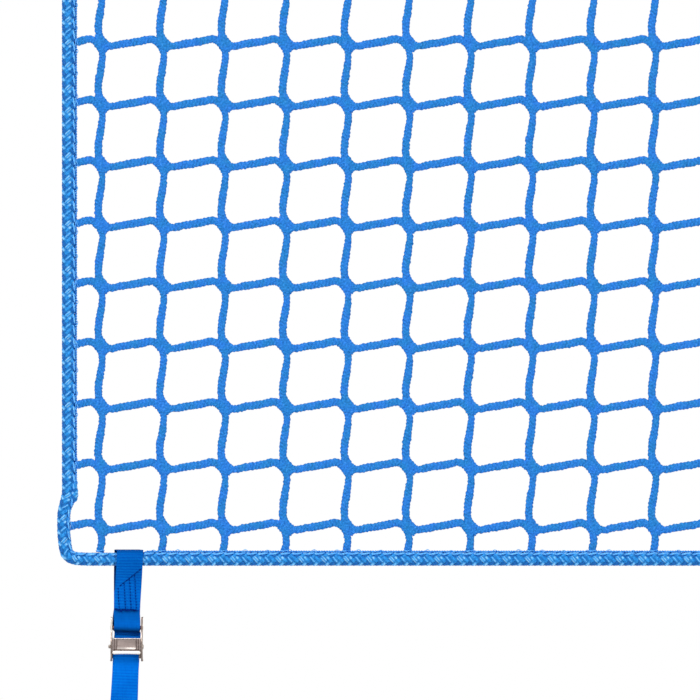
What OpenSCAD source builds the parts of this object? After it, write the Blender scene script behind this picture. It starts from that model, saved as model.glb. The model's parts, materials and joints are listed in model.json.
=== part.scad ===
// Rope-edged climbing and cargo net with four cam-buckle straps.
// It hangs from a rail: +X is the net's width, +Z is up and -Y is its front.
// The origin is on the top rail's axis, halfway between the two top straps.

/* [Netting] */
// Number of column twines, each half a mesh in from the rope at the ends
columns = 17; // [6:1:24]
// Number of row twines
rows = 17; // [6:1:24]
// Mesh width, from one column twine to the next
mesh_w = 60; // [45:1:90]
// Mesh height, from one row twine to the next
mesh_h = 59; // [45:1:90]
// Width of a flat braided twine
twine_w = 7; // [4:0.5:9]
// Thickness of one twine
twine_t = 3.5; // [2:0.5:5]
// How far a row twine climbs and falls at each junction, to either side
row_wave = 4; // [1:0.5:6]
// How far a column twine steps aside at each junction, to either side
column_wave = 2.6; // [1:0.2:6]
// Half length of a junction
knot_half = 4.5; // [3:0.5:8]
// How far the columns sit to the right of the middle
column_offset = 1.7; // [0:0.1:3]
// How far the rows sit above the middle
row_offset = 1.8; // [0:0.1:3]

/* [Border rope] */
// Rope diameter
rope_d = 12; // [10:0.5:14]
// Radius of the rope's axis at the corners
corner_r = 20; // [16:1:26]
// How far the spliced rope end steps outwards
splice_step = 4; // [2:0.5:5]
// Height of the splice above the bottom rope
splice_z = 54; // [45:1:90]
// Height of the seam that joins the netting to the rope
seam_h = 1.2; // [0.8:0.1:1.5]
// Thickness of the seam
seam_t = 3; // [2:0.5:4]

/* [Webbing] */
// Webbing width
web_w = 25.6; // [20:0.2:26]
// Webbing thickness
web_t = 1.5; // [1:0.1:1.6]
// Distance from the side rope to the middle of a strap
strap_inset = 59; // [50:1:70]
// Clearance between the rope's seam and the loop of webbing round it
loop_clear = 0.8; // [0.6:0.1:1.2]
// Where the two sides of the rope loop come together, from the rope's axis
throat = 18; // [16:1:22]
// Where the sewn stack ends, from the rope's axis
stack_end = 49.5; // [44:0.5:52]
// Sideways lean of the bottom left strap, in degrees
lean_left = 2.2; // [0:0.1:3]
// Sideways lean of the bottom right strap, in degrees
lean_right = 1; // [0:0.1:3]
// Forward tilt that brings a bottom strap's weight under the rope, in degrees
hang_tilt = 0; // [-5:0.1:5]
// Length of the free tail that hangs below a bottom buckle
tail_length = 200; // [150:5:400]

/* [Buckle] */
// Width over the two side walls
buckle_w = 31.8; // [31:0.2:40]
// Thickness of the side walls
wall_t = 1.8; // [1.2:0.1:2]
// Thickness of the base plate
base_t = 2; // [1.5:0.1:2.5]
// Start of the side walls, from the rope's axis
wall_start = 56.5; // [54:0.5:58]
// End of the side walls
wall_end = 99.5; // [98:0.5:104]
// Radius of the rear bar and of the cam's pin
pin_r = 2; // [1.5:0.1:2.2]
// Radial running fit of the pin in its bores
pin_fit = 0.05; // [0.02:0.01:0.08]
// Centre of the rear bar, from the rope's axis
bar_s = 66.8; // [65:0.2:67.4]
// Centre of the cam's pin, from the rope's axis
cam_s = 85.2; // [84:0.2:87]
// Radius over the cam's teeth
cam_r = 5; // [4.5:0.1:5.2]
// Number of cam teeth
teeth = 7; // [4:1:9]

/* [Rail] */
// Diameter of the rail that a strap goes round
rail_d = 34; // [26:1:38]
// From the rope's axis to the rail's axis
rail_s = 200; // [190:5:260]

/* [Hidden] */
STRAPS = ["top_left", "top_right", "bottom_left", "bottom_right"];
EACH = [
    "sewn_webbing", "stitching", "buckle_frame", "rear_bar", "cam_pin", "cam_spring",
    "cam_lever", "long_webbing", "webbing_legs", "rail_loop", "tail_run", "tail"
];

net_w = columns * mesh_w;
net_h = rows * mesh_h;
rope_r = rope_d / 2;
top_z = -rail_s;
bottom_z = top_z - net_h;
seam_edge = rope_r + seam_h;

loop_in = seam_edge + loop_clear;
loop_r = loop_in + web_t / 2;
wall_in = buckle_w / 2 - wall_t;
lever_w = 2 * (wall_in - 0.3);
rail_r = rail_d / 2;
rail_mid = rail_r + web_t / 2;

bar_fit = 0.25;
bar_bend = pin_r + bar_fit + web_t / 2;
base_front = 3;
base_edge_r = base_t / 2;
base_start = 77;
edge_gap = 0.2;
wrap_r = base_edge_r + edge_gap + web_t / 2;
through_y = base_front + base_edge_r - wrap_r;
back_y = base_front + base_edge_r + wrap_r;
behind_y = back_y + web_t + 0.5;
nip_gap = 0.1;
layer_gap = 0.05;
turn_gap = 0.1;
cam_y = through_y - web_t / 2 - nip_gap - cam_r;
nose = 97;
legs_start = 100;
legs_bend = 132;
arch_start = 104;
arch_r = 18;
arch_y = through_y - 2 * arch_r;
run_length = 22;
top_tail_end = 8;
layer = web_t + layer_gap;
fold_start = throat + 8;
tuck = 2;

// [x of the rope loop, +1 at the top or -1 at the bottom, lean, tilt] of each strap
strap_x = net_w / 2 - strap_inset;
PLACES = [
    [-strap_x, 1, 0, 0],
    [strap_x, 1, 0, 0],
    [-strap_x, -1, lean_left, hang_tilt],
    [strap_x, -1, -lean_right, hang_tilt]
];

BLUE = "#2a82de";
DEEP_BLUE = "#1560c8";
NAVY = "#0c2f7c";
STEEL = "#a29a96";

$fn = 48;

// --- Paths and bands -----------------------------------------------------

function unit(v) = v / norm(v);
function back(list) = [for (i = [len(list) - 1:-1:0]) list[i]];
function arc(c, r, a0, a1, steps = 12) =
    [for (i = [0:steps]) let (a = a0 + (a1 - a0) * i / steps) c + r * [cos(a), sin(a)]];

// Direction of a path at point i, halfway between its two neighbours' directions
function heading(p, i) =
    i == 0 ? unit(p[1] - p[0]) :
    i == len(p) - 1 ? unit(p[i] - p[i - 1]) :
    unit(unit(p[i] - p[i - 1]) + unit(p[i + 1] - p[i]));
function mitre(p, i) =
    i == 0 || i == len(p) - 1 ? 1 : 1 / (unit(p[i + 1] - p[i]) * heading(p, i));
function beside(p, h) =
    [for (i = [0:len(p) - 1]) let (d = heading(p, i)) p[i] + h * mitre(p, i) * [-d[1], d[0]]];
function band(p, t) = concat(beside(p, t / 2), back(beside(p, -t / 2)));

// An outline in the Y-Z plane, extruded to both sides along X
module across(w) {
    rotate([90, 0, 90])
        linear_extrude(height = w, center = true)
            children();
}

// A band of webbing along a path in the Y-Z plane
module webbing(path) {
    across(web_w)
        polygon(band(path, web_t));
}

// The part of the children between two distances from the rope's axis
module between(from, to) {
    intersection() {
        children();
        translate([-buckle_w, -rail_s, from])
            cube([2 * buckle_w, 2 * rail_s, to - from]);
    }
}

// Puts a strap, drawn upwards from the rope's axis, in its place on the net
module at_strap(k) {
    place = PLACES[k];
    translate([place[0], 0, place[1] > 0 ? top_z : bottom_z])
        rotate([place[3], place[2], 0])
            mirror([0, 0, place[1] > 0 ? 0 : 1])
                children();
}

function is_top(k) = PLACES[k][1] > 0;
function rail_y(k) = is_top(k) ? 0 : back_y + rail_mid;

// --- Netting -------------------------------------------------------------

function row_z(j) = bottom_z + (j + 0.5) * mesh_h + row_offset;
function column_x(i) = -net_w / 2 + (i + 0.5) * mesh_w + column_offset;

// A row steps down across each junction and climbs between junctions
module row_twines() {
    color(BLUE)
        for (j = [0:rows - 1])
            translate([0, 0, row_z(j)])
                rotate([90, 0, 0])
                    linear_extrude(height = twine_t)
                        polygon(band(row_path(), twine_w));
}

function row_path() = concat(
    [[-net_w / 2 + seam_edge, 0]],
    [for (i = [0:columns - 1], side = [-1, 1]) [column_x(i) + side * knot_half, -side * row_wave]],
    [[net_w / 2 - seam_edge, 0]]
);

// A column steps to the right across each junction, going down
module column_twines() {
    color(BLUE)
        for (i = [0:columns - 1])
            translate([column_x(i), twine_t, 0])
                rotate([90, 0, 0])
                    linear_extrude(height = twine_t)
                        polygon(band(column_path(), twine_w));
}

function column_path() = concat(
    [[0, bottom_z + seam_edge]],
    [for (j = [0:rows - 1], side = [-1, 1]) [-side * column_wave, row_z(j) + side * knot_half]],
    [[0, top_z - seam_edge]]
);

// --- Border rope ---------------------------------------------------------

module upright_rope(x, z0, z1) {
    translate([x, 0, z0])
        cylinder(r = rope_r, h = z1 - z0);
}

module level_rope(z, x0, x1) {
    translate([x0, 0, z])
        rotate([0, 90, 0])
            cylinder(r = rope_r, h = x1 - x0);
}

// A quarter turn of rope whose quadrant starts at angle a
module rope_corner(x, z, a) {
    translate([x, 0, z])
        rotate([90, 0, 0])
            rotate([0, 0, a])
                rotate_extrude(angle = 90)
                    translate([corner_r, 0])
                        circle(r = rope_r);
}

right = net_w / 2;
left = -net_w / 2;
splice_base = bottom_z + splice_z;
splice_lap = 8;

module border_rope() {
    color(BLUE)
        union() {
            upright_rope(right, bottom_z + corner_r, top_z - corner_r);
            upright_rope(left, splice_base, top_z - corner_r);
            upright_rope(left - splice_step, bottom_z + corner_r, splice_base + splice_lap);
            level_rope(top_z, left + corner_r, right - corner_r);
            level_rope(bottom_z, left - splice_step + corner_r, right - corner_r);
            rope_corner(right - corner_r, top_z - corner_r, 0);
            rope_corner(left + corner_r, top_z - corner_r, 90);
            rope_corner(left - splice_step + corner_r, bottom_z + corner_r, 180);
            rope_corner(right - corner_r, bottom_z + corner_r, 270);
        }
}

// The tucked rope end, which bulges on the side of the netting
module rope_splice() {
    end_r = 3.4;
    end_h = 12;
    color(BLUE)
        difference() {
            translate([left + rope_r - end_r / 2 + 0.6, -end_r, splice_base + splice_lap])
                union() {
                    cylinder(r = end_r, h = end_h);
                    sphere(r = end_r);
                    translate([0, 0, end_h])
                        sphere(r = end_r);
                }
            upright_rope(left, bottom_z, top_z);
            upright_rope(left - splice_step, bottom_z, top_z);
            translate([left + rope_r, -seam_t / 2, bottom_z])
                cube([2 * end_r, 3 * end_r, net_h]);
        }
}

module rounded_frame(margin) {
    r = corner_r - margin;
    w = net_w / 2 - margin;
    lo = bottom_z + margin;
    hi = top_z - margin;
    translate([-w + r, lo])
        square([2 * w - 2 * r, hi - lo]);
    translate([-w, lo + r])
        square([2 * w, hi - lo - 2 * r]);
    for (x = [-w + r, w - r], z = [lo + r, hi - r])
        translate([x, z])
            circle(r = r);
}

// The stitched edge of the netting, tangent to the rope all the way round
module seam_cord() {
    color(NAVY)
        translate([0, seam_t / 2, 0])
            rotate([90, 0, 0])
                linear_extrude(height = seam_t)
                    difference() {
                        rounded_frame(rope_r);
                        rounded_frame(seam_edge);
                    }
}

// --- Sewn webbing --------------------------------------------------------

// From the front cut end, round the rope, up the stack, round the rear bar and back
function sewn_path() = concat(
    [[-1.5 * layer, stack_end], [-1.5 * layer, throat]],
    arc([0, 0], loop_r, 160, 380, 16),
    [[-0.5 * layer, throat], [-0.5 * layer, stack_end + tuck]],
    arc([0, bar_s], bar_bend, 180, 0, 8),
    [[0.5 * layer, stack_end + tuck], [0.5 * layer, fold_start]]
);

module sewn_webbing(k) {
    color(DEEP_BLUE)
        at_strap(k)
            webbing(sewn_path());
}

// Zigzag of thread that holds the layers together, on the front of the stack
module stitching(k) {
    thread = 0.8;
    start = throat + 4;
    stop = stack_end - 2;
    front = -2 * layer - thread / 2;
    run_x = [-0.4, -0.14, 0.14, 0.4] * web_w;
    color(NAVY)
        at_strap(k)
            union() {
                for (x = run_x)
                    translate([x - thread / 2, front, start])
                        cube([thread, thread / 2, stop - start]);
                for (s = [start, stop])
                    translate([run_x[0], front, s - thread / 2])
                        cube([run_x[3] - run_x[0], thread / 2, thread]);
            }
}

// --- Buckle --------------------------------------------------------------

ear = 4.5;

// Outline of a side wall, with an ear that stands out round the cam's pin
function wall_points() = [
    [-pin_r - 1, wall_start], [pin_r + 1, wall_start], [base_front + base_t, wall_start + 4],
    [base_front + base_t, wall_end], [-pin_r, wall_end], [cam_y - ear / 2, nose - 3],
    [cam_y - ear, cam_s + 3], [cam_y - ear, cam_s - 5], [-ear, bar_s + 4]
];

module pin_across(s, y, r, w) {
    translate([-w / 2, y, s])
        rotate([0, 90, 0])
            cylinder(r = r, h = w);
}

module buckle_frame(k) {
    flare = 1.2;
    foot_h = 3;
    hook_h = 2;
    flare_x = (buckle_w + flare) / 2;
    color(STEEL)
        at_strap(k)
            difference() {
                union() {
                    for (side = [-1, 1]) {
                        translate([side * (wall_in + wall_t / 2), 0, 0])
                            across(wall_t)
                                polygon(wall_points());
                        translate([side * flare_x - flare / 2, -pin_r, wall_end - foot_h])
                            cube([flare, base_front + base_t + pin_r, foot_h]);
                        translate([side * flare_x - flare / 2, -pin_r - 1, wall_start])
                            cube([flare, 2 * (pin_r + 1), hook_h]);
                    }
                    translate([-wall_in, base_front, base_start])
                        cube([2 * wall_in, base_t, nose - base_start]);
                    pin_across(base_start, base_front + base_edge_r, base_edge_r, 2 * wall_in);
                }
                pin_across(bar_s, 0, pin_r + pin_fit, 2 * buckle_w);
                pin_across(cam_s, cam_y, pin_r + pin_fit, 2 * buckle_w);
            }
}

// A pin with a rivet head on the outside of each wall
module riveted_pin(s, y, head_r, head_t) {
    pin_across(s, y, pin_r, buckle_w + head_t);
    for (side = [-1, 1])
        translate([side * (buckle_w + head_t) / 2, 0, 0])
            pin_across(s, y, head_r, head_t);
}

module rear_bar(k) {
    color(STEEL)
        at_strap(k)
            riveted_pin(bar_s, 0, pin_r + 0.7, 0.7);
}

module cam_pin(k) {
    color(STEEL)
        at_strap(k)
            riveted_pin(cam_s, cam_y, pin_r + 1, 1.2);
}

spring_w = 5;
drum_right = lever_w / 2 - spring_w;
tooth_h = 0.7;
root_r = cam_r - tooth_h;

// Teeth round the back of the cam, seen from the side
function cam_points() = concat(
    [for (i = [0:teeth - 1], tip = [0, 1])
        let (a = -70 + (i + tip / 2) * 140 / teeth, r = root_r + tip * tooth_h)
        [cam_y, cam_s] + r * [cos(a), sin(a)]],
    arc([cam_y, cam_s], root_r, 70, 290, 20)
);

thumb_start = 76.9;
plate_end = 89.6;
plate_t = 1.6;
plate_slant = 1.6;
plate_y = cam_y - 5.6;
plate_back = plate_y + plate_t;
lip_s = 90.5;
lip_r = 2;
web_half = 3.6;

// The thumb plate, which slants towards the rear at its free end
function plate_points() = [
    [plate_y + plate_slant, thumb_start], [plate_back + plate_slant, thumb_start],
    [plate_back + 0.3, plate_end], [plate_y, plate_end]
];

// The web between the cam and the thumb plate
function lever_web() = [
    [cam_y, cam_s - web_half], [plate_back + 0.8, cam_s - 1.5 * web_half],
    [plate_back + 0.3, lip_s], [cam_y, cam_s + web_half]
];

module cam_lever(k) {
    panel_w = 17.5;
    panel_h = 7.5;
    panel_deep = 0.5;
    cutter = 4;
    color(STEEL)
        at_strap(k)
            difference() {
                union() {
                    translate([(drum_right - lever_w / 2) / 2, 0, 0])
                        across(drum_right + lever_w / 2) {
                            polygon(cam_points());
                            polygon(lever_web());
                        }
                    across(lever_w) {
                        polygon(plate_points());
                        translate([plate_y + lip_r - 0.3, lip_s])
                            circle(r = lip_r);
                    }
                }
                pin_across(cam_s, cam_y, pin_r + pin_fit, 2 * buckle_w);
                translate([-panel_w / 2, plate_y + plate_slant, thumb_start])
                    rotate([atan2(plate_slant, plate_end - thumb_start), 0, 0])
                        translate([0, panel_deep - cutter, 1.3])
                            cube([panel_w, cutter, panel_h]);
            }
}

wire_r = 0.4;
spring_fit = 0.3;
coil_r = pin_r + spring_fit + wire_r;
coil_turns = 3.5;
coil_left = drum_right + 2 * wire_r;
coil_pitch = 1;
long_end = 6.2;
short_end = 3.5;

// Wire from behind the thumb plate, round the pin, to a short end by the nose
function spring_path() = concat(
    [[coil_left, plate_back + plate_slant + spring_fit + wire_r, cam_s - long_end]],
    [for (i = [0:coil_turns * 12])
        let (a = -90 - i * 30)
        [coil_left + coil_pitch * i / 12, cam_y + coil_r * sin(a), cam_s + coil_r * cos(a)]],
    [[coil_left + coil_pitch * coil_turns, cam_y + coil_r, cam_s + short_end]]
);

// Tube of eight sides along a path; its rings stand square to the path and to a guide
function tube_ring(p, i, r, guide) =
    let (
        t = unit(p[min(i + 1, len(p) - 1)] - p[max(i - 1, 0)]),
        u = unit(cross(t, guide)),
        v = cross(t, u)
    )
    [for (a = [0:45:315]) p[i] + r * (cos(a) * u + sin(a) * v)];

module tube(p, r, guide) {
    rings = [for (i = [0:len(p) - 1]) tube_ring(p, i, r, guide)];
    last = (len(p) - 1) * 8;
    polyhedron(
        points = [for (ring = rings) each ring],
        faces = concat(
            [[for (j = [7:-1:0]) j], [for (j = [0:7]) last + j]],
            [for (i = [0:len(p) - 2], j = [0:7])
                let (k = (j + 1) % 8)
                [i * 8 + j, i * 8 + k, i * 8 + 8 + k, i * 8 + 8 + j]]
        )
    );
}

module cam_spring(k) {
    color(STEEL)
        at_strap(k)
            tube(spring_path(), wire_r, [1, 0.01, 0.02]);
}

// --- Long webbing --------------------------------------------------------

// Where the two legs bend towards the rail, behind it and in front of it
function far_bend(k) = [behind_y, is_top(k) ? legs_bend : legs_start - 2];
function near_bend(k) = [back_y, is_top(k) ? legs_bend : legs_start + 20];

// Angle on the rail, and the point there, that a straight leg from a bend touches
function touch_angle(k, bend, side) =
    let (v = bend - [rail_y(k), rail_s])
    atan2(v[1], v[0]) + side * acos(rail_mid / norm(v));
function touch_point(k, bend, side) =
    let (a = touch_angle(k, bend, side))
    [rail_y(k), rail_s] + rail_mid * [cos(a), sin(a)];

// From the stack, behind the buckle, to the far side of the rail
function outgoing_path(k) = [
    [1.5 * layer, fold_start], [1.5 * layer, stack_end], [behind_y, base_start - 2],
    far_bend(k), touch_point(k, far_bend(k), 1)
];

// From the near side of the rail, over the base plate's edge and under the cam
function returning_path(k) = concat(
    [touch_point(k, near_bend(k), -1), near_bend(k), [back_y, base_start + 4]],
    arc([base_front + base_edge_r, base_start], wrap_r, 0, -180, 10),
    [[through_y, nose]]
);

module long_webbing(k) {
    color(DEEP_BLUE)
        at_strap(k)
            between(0, legs_start) {
                webbing(outgoing_path(k));
                webbing(returning_path(k));
            }
}

module webbing_legs(k) {
    color(DEEP_BLUE)
        at_strap(k)
            between(legs_start, rail_s + rail_r) {
                webbing(outgoing_path(k));
                webbing(returning_path(k));
            }
}

// The turn of webbing round the rail, from where one leg touches it to the other
module rail_loop(k) {
    short = asin(turn_gap / rail_mid);
    from = touch_angle(k, far_bend(k), 1) + short;
    to = touch_angle(k, near_bend(k), -1) + 360 - short;
    color(DEEP_BLUE)
        at_strap(k)
            translate([0, rail_y(k), rail_s])
                rotate([90, 0, 90])
                    rotate([0, 0, from])
                        rotate_extrude(angle = to - from)
                            translate([rail_r, -web_w / 2])
                                square([web_t, web_w]);
}

// --- Free tail -----------------------------------------------------------

// Up out of the top buckle's nose and over to the front
module tail_arch(k) {
    color(DEEP_BLUE)
        at_strap(k)
            webbing(concat(
                [[through_y, nose]],
                arc([through_y - arch_r, arch_start], arch_r, 0, 180, 16),
                [[arch_y, arch_start - 1]]
            ));
}

function run_path(k) = is_top(k)
    ? [[arch_y, arch_start - 1], [arch_y, arch_start - run_length]]
    : [[through_y, nose], [through_y, nose + run_length]];

function tail_path(k) = is_top(k)
    ? [[arch_y, arch_start - run_length], [arch_y, top_tail_end]]
    : [[through_y, nose + run_length], [through_y, nose + tail_length]];

// The stretch of tail that grows as webbing is pulled through the buckle
module tail_run(k) {
    color(DEEP_BLUE)
        at_strap(k)
            webbing(run_path(k));
}

module tail(k) {
    color(DEEP_BLUE)
        at_strap(k)
            webbing(tail_path(k));
}

row_twines();
column_twines();
border_rope();
rope_splice();
seam_cord();
tail_arch(0);  // tail_arch_top_left
tail_arch(1);  // tail_arch_top_right
for (k = [0:3]) {
    sewn_webbing(k);
    stitching(k);
    buckle_frame(k);
    rear_bar(k);
    cam_pin(k);
    cam_spring(k);
    cam_lever(k);
    long_webbing(k);
    webbing_legs(k);
    rail_loop(k);
    tail_run(k);
    tail(k);
}
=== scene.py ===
"""Looks for the rope-edged netting with its four cam-buckle straps.

The object's lengths are in millimetres until a mesh is made, and the camera, lamps and floor
are placed in metres. A strap's own frame has x across the webbing, y to the back and s along
the strap, away from the rope's axis.
"""

import json
import math
from collections import namedtuple

import bmesh
import bpy
import numpy as np
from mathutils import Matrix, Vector


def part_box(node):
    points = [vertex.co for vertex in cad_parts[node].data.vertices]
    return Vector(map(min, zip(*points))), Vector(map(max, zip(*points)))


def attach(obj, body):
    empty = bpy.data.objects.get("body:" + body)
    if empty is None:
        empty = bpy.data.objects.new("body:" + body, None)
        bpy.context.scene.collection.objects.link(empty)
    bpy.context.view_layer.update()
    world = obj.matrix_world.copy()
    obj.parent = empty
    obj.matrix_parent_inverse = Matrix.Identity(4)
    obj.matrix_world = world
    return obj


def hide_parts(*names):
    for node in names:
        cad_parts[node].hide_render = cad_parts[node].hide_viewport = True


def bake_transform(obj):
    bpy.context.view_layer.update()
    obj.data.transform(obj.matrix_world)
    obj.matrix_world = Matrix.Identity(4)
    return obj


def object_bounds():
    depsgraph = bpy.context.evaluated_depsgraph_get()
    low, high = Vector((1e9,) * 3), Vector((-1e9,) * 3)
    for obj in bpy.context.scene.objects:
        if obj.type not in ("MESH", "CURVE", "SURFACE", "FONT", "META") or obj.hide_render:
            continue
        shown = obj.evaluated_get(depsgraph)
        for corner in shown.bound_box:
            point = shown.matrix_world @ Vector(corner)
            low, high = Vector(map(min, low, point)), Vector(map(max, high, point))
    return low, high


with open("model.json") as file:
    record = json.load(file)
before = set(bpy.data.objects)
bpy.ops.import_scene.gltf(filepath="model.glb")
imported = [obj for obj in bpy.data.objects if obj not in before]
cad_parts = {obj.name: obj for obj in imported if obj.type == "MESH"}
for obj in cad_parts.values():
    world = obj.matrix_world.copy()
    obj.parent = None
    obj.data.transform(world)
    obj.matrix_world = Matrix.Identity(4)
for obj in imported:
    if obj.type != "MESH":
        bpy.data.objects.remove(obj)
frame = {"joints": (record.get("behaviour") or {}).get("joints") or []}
cad_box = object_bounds()

MM = 0.001
JOINTS = {joint["name"]: joint for joint in frame["joints"]}


def in_mm(point):
    return np.array(point, float) / MM


# --- Sizes from the frame ---

rope_low, rope_high = (in_mm(corner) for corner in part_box("border_rope"))
ROPE_R = (rope_high[1] - rope_low[1]) / 2
RIGHT = rope_high[0] - ROPE_R
LEFT = -RIGHT
TOP = in_mm(JOINTS["net_swing"]["pos_m"])[2]
BOTTOM = rope_low[2] + ROPE_R
COLUMNS = 17
ROWS = 17
MESH_W = (RIGHT - LEFT) / COLUMNS
MESH_H = (TOP - BOTTOM) / ROWS
COLUMN_OFFSET = 1.7
ROW_OFFSET = 1.8

tail_low, tail_high = (in_mm(corner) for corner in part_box("tail_top_left"))
WEB_W = tail_high[0] - tail_low[0]
WEB_T = tail_high[1] - tail_low[1]
LAYER = WEB_T + 0.05

STRAPS = ("top_left", "top_right", "bottom_left", "bottom_right")


def is_top(strap):
    return strap.startswith("top")


class StrapFrame:
    """A strap's place: where its loop is on the rope, and its three directions."""

    def __init__(self, strap):
        low, high = (in_mm(corner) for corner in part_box("sewn_webbing_" + strap))
        if is_top(strap):
            self.origin = np.array([(low[0] + high[0]) / 2, 0, TOP])
            self.along = np.array([0.0, 0, 1])
            self.across = np.array([1.0, 0, 0])
        else:
            self.origin = in_mm(JOINTS["strap_swing_" + strap]["pos_m"])
            self.along = -np.array(JOINTS["take_up_" + strap]["axis"], float)
            self.across = -np.array(JOINTS["lever_press_" + strap]["axis"], float)

    def world(self, points, square=False):
        """Points of the strap's frame, in space. A square strap lies level at the rope."""
        p = np.asarray(points, float)
        x, y, s = p[..., 0:1], p[..., 1:2], p[..., 2:3]
        lean = np.clip((s - 2) / 18, 0, 1) if square else 1.0
        across = lean * self.across + (1 - lean) * np.array([1.0, 0, 0])
        return self.origin + x * across + y * np.array([0.0, 1, 0]) + s * self.along


PLACE = {strap: StrapFrame(strap) for strap in STRAPS}


# --- Nodes ---

def srgb(r, g, b):
    """A colour given as 0 to 255 values, as linear light."""
    def linear(c):
        c /= 255
        return c / 12.92 if c <= 0.04045 else ((c + 0.055) / 1.055) ** 2.4
    return (linear(r), linear(g), linear(b), 1)


class Nodes:
    """A node tree, with short ways to add to it. A source is an output, number or colour."""

    def __init__(self, tree):
        self.nodes, self.links = tree.nodes, tree.links

    def put(self, source, socket):
        if isinstance(source, bpy.types.NodeSocket):
            self.links.new(source, socket)
        else:
            socket.default_value = source

    def add(self, kind, inputs, output=0, **settings):
        """Adds a node and returns one of its outputs."""
        node = self.nodes.new("ShaderNode" + kind)
        for key, value in settings.items():
            setattr(node, key, value)
        for socket, source in inputs.items():
            self.put(source, node.inputs[socket])
        return node.outputs[output]

    def maths(self, operation, one, other):
        return self.add("Math", {0: one, 1: other}, operation=operation)

    def span(self, source, low, high, to_low=0.0, to_high=1.0):
        """The source, moved from one span of numbers to another and kept inside it."""
        return self.add("MapRange", {"Value": source, "From Min": low, "From Max": high,
                                     "To Min": to_low, "To Max": to_high}, "Result")

    def ramp(self, source, *stops):
        """A colour ramp. Each stop is a place and a colour's red, green and blue."""
        colour = self.add("ValToRGB", {"Fac": source}, "Color")
        elements = colour.node.color_ramp.elements
        while len(elements) < len(stops):
            elements.new(0.5)
        for element, (place, *rgb) in zip(elements, stops):
            element.position = place
            element.color = srgb(*rgb)
        return colour

    def mix(self, amount, one, other, way="MIX"):
        return self.add("Mix", {0: amount, 6: one, 7: other}, 2, data_type="RGBA",
                        blend_type=way)


class Material(Nodes):
    """A Principled material. Its patterns lie in the object's own coordinates."""

    def __init__(self, name, roughness, metallic=0.0, specular=0.5):
        self.data = bpy.data.materials.new(name)
        self.data.use_nodes = True
        super().__init__(self.data.node_tree)
        self.shader = self.nodes["Principled BSDF"].inputs
        for socket, value in (("Roughness", roughness), ("Metallic", metallic),
                              ("Specular IOR Level", specular)):
            self.shader[socket].default_value = value
        self.place = self.add("TexCoord", {}, "Object")
        self.normal = None

    def noise(self, scale, detail=3.0, stretch=None):
        place = self.place
        if stretch:
            place = self.add("Mapping", {"Vector": place, "Scale": stretch})
        return self.add("TexNoise", {"Vector": place, "Scale": scale, "Detail": detail,
                                     "Roughness": 0.55}, "Fac")

    def attribute(self, name):
        return self.add("Attribute", {}, "Fac", attribute_name=name)

    def colour(self, source):
        self.put(source, self.shader["Base Color"])

    def paint_hollow_shade_by_crest(self, body, low, high):
        """The body's colour, with painted shade between yarns, where crest is low, and full colour
        on them.
        """
        crest = self.span(self.attribute("crest"), 0.0, 0.8, low, high)
        self.colour(self.mix(1.0, body, crest, "MULTIPLY"))

    def roughness(self, source, low, high):
        self.put(self.span(source, 0, 1, low, high), self.shader["Roughness"])

    def bump(self, source, depth, strength):
        inputs = {"Distance": depth * MM, "Strength": strength, "Height": source}
        if self.normal:
            inputs["Normal"] = self.normal
        self.normal = self.add("Bump", inputs, "Normal")
        self.put(self.normal, self.shader["Normal"])


# --- Camera, light and floor ---

VIEW_CENTRE = Vector((-0.2353, 0, -0.9989))
VIEW_WIDTH = 0.683
LENS = 400
SENSOR = 36
LIT_POINT = Vector((0, 0, -0.8))
# Each lamp's name, place, size and watts
LAMPS = [("key", (-2.0, -3.9, 2.4), 1.8, 140), ("fill", (3.4, -3.9, 0.2), 2.6, 50),
         ("back", (1.5, 4.5, 1.5), 2.5, 90)]
SKY_LOW, SKY_HIGH = 0.12, 0.62
FLOOR_RADIUS = 3.2
FLOOR_DROP = 0.03
FLOOR_FADES = (1.0, 2.8)


def place_in_scene(name, data):
    made = bpy.data.objects.new(name, data)
    bpy.context.scene.collection.objects.link(made)
    return made


def make_camera():
    data = bpy.data.cameras.new("camera")
    data.lens = LENS
    data.sensor_width = SENSOR
    data.clip_end = 100
    camera = place_in_scene("camera", data)
    distance = VIEW_WIDTH * LENS / SENSOR
    camera.location = VIEW_CENTRE + Vector((0, -distance, 0))
    camera.rotation_euler = (math.pi / 2, 0, 0)
    bpy.context.scene.camera = camera


def make_lamp(name, place, size, watts):
    data = bpy.data.lights.new(name, "AREA")
    data.shape = "DISK"
    data.size = size
    data.energy = watts
    lamp = place_in_scene(name, data)
    lamp.location = place
    lamp.rotation_euler = (LIT_POINT - Vector(place)).to_track_quat("-Z", "Y").to_euler()


def make_world():
    """White where it is seen or reflected. Its light is grey, and brighter from above."""
    world = bpy.data.worlds.new("studio")
    bpy.context.scene.world = world
    world.use_nodes = True
    tree = Nodes(world.node_tree)
    tree.nodes.clear()
    up = tree.add("SeparateXYZ", {0: tree.add("TexCoord", {}, "Generated")}, "Z")
    lit = tree.add("Background", {"Color": tree.span(up, -0.9, 0.7, SKY_LOW, SKY_HIGH)})
    seen = tree.add("Background", {"Color": (1, 1, 1, 1)})
    rays = tree.add("LightPath", {}).node.outputs
    either = tree.maths("MAXIMUM", rays["Is Camera Ray"], rays["Is Glossy Ray"])
    any_of = tree.maths("MAXIMUM", either, rays["Is Transmission Ray"])
    mix = tree.add("MixShader", {"Fac": any_of, 1: lit, 2: seen})
    tree.put(mix, tree.nodes.new("ShaderNodeOutputWorld").inputs["Surface"])


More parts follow.
